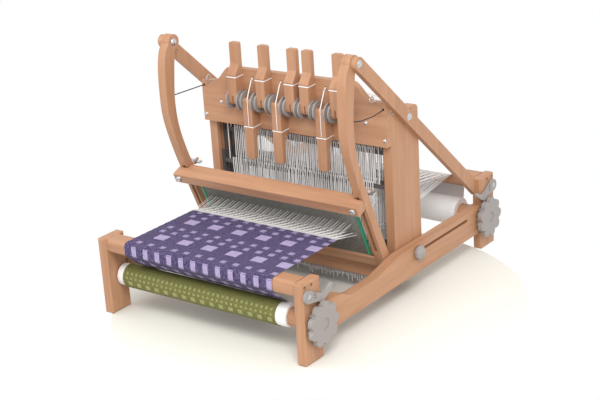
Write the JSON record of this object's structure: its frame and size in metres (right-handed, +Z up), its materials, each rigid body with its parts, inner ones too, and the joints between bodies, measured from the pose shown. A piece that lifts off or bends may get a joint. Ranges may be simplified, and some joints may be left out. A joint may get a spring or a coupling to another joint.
{
  "type": "table loom",
  "caption": "Wooden table loom with hand levers, lifting shafts, hanging beater with reed, and cloth and warp rollers.",
  "frame": {"origin": "on the table under the middle of the loom", "axes": "+Z up, +Y from the weaver to the back, +X right"},
  "size_m": [0.554, 0.726, 0.542],
  "materials": {
    "beech": "satin",
    "plastic": "satin",
    "steel": "satin",
    "cloth": "matte",
    "green_cloth": "matte",
    "yarn": "matte",
    "elastic": "matte",
    "green": "satin"
  },
  "bodies": {
    "frame": {"post_front_left": "beech", "post_front_right": "beech", "post_back_left": "beech", "post_back_right": "beech", "side_rail_left": "beech", "side_rail_right": "beech", "front_beam": "beech", "back_beam": "beech", "cross_rail": "beech", "castle_side_left": "beech", "castle_side_right": "beech", "castle_top_rail": "beech", "lever_board": "beech", "strut_left": "beech", "strut_right": "beech", "strut_bolts": "steel", "lever_brackets": "plastic", "cup_hooks": "steel", "frame_screws": "steel", "beater_elastics": "elastic", "cloth_web": "cloth", "warp_threads": "yarn", "lift_cords": "yarn"},
    "beater": {"sword_left": "beech", "sword_right": "beech", "lower_batten": "beech", "reed": "steel", "reed_ends": "green"},
    "reed_cap_body": {"reed_cap": "beech"},
    "nut_left": {"wing_nut_left": "steel"},
    "nut_right": {"wing_nut_right": "steel"},
    "cloth_roller": {"cloth_roller_bar": "beech", "rolled_cloth": "green_cloth", "cloth_handwheel": "plastic"},
    "warp_roller": {"warp_roller_bar": "beech", "warp_roll": "yarn", "warp_handwheel": "plastic"},
    "pawl_front": {"front_pawl": "plastic"},
    "pawl_back": {"back_pawl": "plastic"},
    "knob_left": {"clamp_knob_left": "plastic"},
    "knob_right": {"clamp_knob_right": "plastic"},
    "lever_body_1": {"lever_1": "beech"},
    "shaft_body_1": {"shaft_1": "yarn"},
    "lever_body_2": {"lever_2": "beech"},
    "shaft_body_2": {"shaft_2": "yarn"},
    "lever_body_3": {"lever_3": "beech"},
    "shaft_body_3": {"shaft_3": "yarn"},
    "lever_body_4": {"lever_4": "beech"},
    "shaft_body_4": {"shaft_4": "yarn"},
    "lever_body_5": {"lever_5": "beech"},
    "shaft_body_5": {"shaft_5": "yarn"},
    "lever_body_6": {"lever_6": "beech"},
    "shaft_body_6": {"shaft_6": "yarn"},
    "lever_body_7": {"lever_7": "beech"},
    "shaft_body_7": {"shaft_7": "yarn"},
    "lever_body_8": {"lever_8": "beech"},
    "shaft_body_8": {"shaft_8": "yarn"}
  },
  "joints": [
    {"name": "beater_swing", "type": "hinge", "parent": "frame", "child": "beater", "pos_m": [0, -0.124, 0.526], "axis": [1, 0, 0], "range_deg": [-10, 1.5], "deforming": ["beater_elastics", "warp_threads", "lift_cords"]},
    {"name": "reed_cap_slide", "type": "slide", "parent": "beater", "child": "reed_cap_body", "axis": [0, -0.3811, 0.9245], "range_m": [0, 0.01]},
    {"name": "wing_nut_left_turn", "type": "hinge", "parent": "reed_cap_body", "child": "nut_left", "pos_m": [-0.224, -0.08527, 0.25096], "axis": [0, 0.9245, 0.3811], "continuous": true},
    {"name": "wing_nut_right_turn", "type": "hinge", "parent": "reed_cap_body", "child": "nut_right", "pos_m": [0.224, -0.08527, 0.25096], "axis": [0, 0.9245, 0.3811], "continuous": true},
    {"name": "cloth_roller_turn", "type": "hinge", "parent": "frame", "child": "cloth_roller", "pos_m": [0, -0.318, 0.075], "axis": [1, 0, 0], "continuous": true},
    {"name": "warp_roller_turn", "type": "hinge", "parent": "frame", "child": "warp_roller", "pos_m": [0, 0.318, 0.075], "axis": [1, 0, 0], "continuous": true},
    {"name": "front_pawl_turn", "type": "hinge", "parent": "frame", "child": "pawl_front", "pos_m": [0.264, -0.349, 0.139], "axis": [1, 0, 0], "range_deg": [0, 20]},
    {"name": "back_pawl_turn", "type": "hinge", "parent": "frame", "child": "pawl_back", "pos_m": [0.264, 0.349, 0.139], "axis": [1, 0, 0], "range_deg": [-20, 0]},
    {"name": "clamp_left_turn", "type": "hinge", "parent": "frame", "child": "knob_left", "pos_m": [-0.265, 0.037, 0.089], "axis": [1, 0, 0], "continuous": true},
    {"name": "clamp_right_turn", "type": "hinge", "parent": "frame", "child": "knob_right", "pos_m": [0.265, 0.037, 0.089], "axis": [1, 0, 0], "continuous": true},
    {"name": "lever_1_swing", "type": "hinge", "parent": "frame", "child": "lever_body_1", "pos_m": [-0.13125, -0.0369, 0.39], "axis": [1, 0, 0], "range_deg": [0, 178]},
    {"name": "shaft_1_lift", "type": "slide", "parent": "frame", "child": "shaft_body_1", "axis": [0, 0, 1], "range_m": [0, 0.07]},
    {"name": "lever_2_swing", "type": "hinge", "parent": "frame", "child": "lever_body_2", "pos_m": [-0.09375, -0.0369, 0.39], "axis": [1, 0, 0], "range_deg": [-178, 0]},
    {"name": "shaft_2_lift", "type": "slide", "parent": "frame", "child": "shaft_body_2", "axis": [0, 0, 1], "range_m": [-0.07, 0]},
    {"name": "lever_3_swing", "type": "hinge", "parent": "frame", "child": "lever_body_3", "pos_m": [-0.05625, -0.0369, 0.39], "axis": [1, 0, 0], "range_deg": [0, 178]},
    {"name": "shaft_3_lift", "type": "slide", "parent": "frame", "child": "shaft_body_3", "axis": [0, 0, 1], "range_m": [0, 0.07]},
    {"name": "lever_4_swing", "type": "hinge", "parent": "frame", "child": "lever_body_4", "pos_m": [-0.01875, -0.0369, 0.39], "axis": [1, 0, 0], "range_deg": [-178, 0]},
    {"name": "shaft_4_lift", "type": "slide", "parent": "frame", "child": "shaft_body_4", "axis": [0, 0, 1], "range_m": [-0.07, 0]},
    {"name": "lever_5_swing", "type": "hinge", "parent": "frame", "child": "lever_body_5", "pos_m": [0.01875, -0.0369, 0.39], "axis": [1, 0, 0], "range_deg": [0, 178]},
    {"name": "shaft_5_lift", "type": "slide", "parent": "frame", "child": "shaft_body_5", "axis": [0, 0, 1], "range_m": [0, 0.07]},
    {"name": "lever_6_swing", "type": "hinge", "parent": "frame", "child": "lever_body_6", "pos_m": [0.05625, -0.0369, 0.39], "axis": [1, 0, 0], "range_deg": [0, 178]},
    {"name": "shaft_6_lift", "type": "slide", "parent": "frame", "child": "shaft_body_6", "axis": [0, 0, 1], "range_m": [0, 0.07]},
    {"name": "lever_7_swing", "type": "hinge", "parent": "frame", "child": "lever_body_7", "pos_m": [0.09375, -0.0369, 0.39], "axis": [1, 0, 0], "range_deg": [-178, 0]},
    {"name": "shaft_7_lift", "type": "slide", "parent": "frame", "child": "shaft_body_7", "axis": [0, 0, 1], "range_m": [-0.07, 0]},
    {"name": "lever_8_swing", "type": "hinge", "parent": "frame", "child": "lever_body_8", "pos_m": [0.13125, -0.0369, 0.39], "axis": [1, 0, 0], "range_deg": [0, 178]},
    {"name": "shaft_8_lift", "type": "slide", "parent": "frame", "child": "shaft_body_8", "axis": [0, 0, 1], "range_m": [0, 0.07]}
  ],
  "couplings": [
    {"joint": "shaft_1_lift", "follows": "lever_1_swing", "m_per_rad": 0.022532},
    {"joint": "shaft_2_lift", "follows": "lever_2_swing", "m_per_rad": 0.022532},
    {"joint": "shaft_3_lift", "follows": "lever_3_swing", "m_per_rad": 0.022532},
    {"joint": "shaft_4_lift", "follows": "lever_4_swing", "m_per_rad": 0.022532},
    {"joint": "shaft_5_lift", "follows": "lever_5_swing", "m_per_rad": 0.022532},
    {"joint": "shaft_6_lift", "follows": "lever_6_swing", "m_per_rad": 0.022532},
    {"joint": "shaft_7_lift", "follows": "lever_7_swing", "m_per_rad": 0.022532},
    {"joint": "shaft_8_lift", "follows": "lever_8_swing", "m_per_rad": 0.022532}
  ]
}
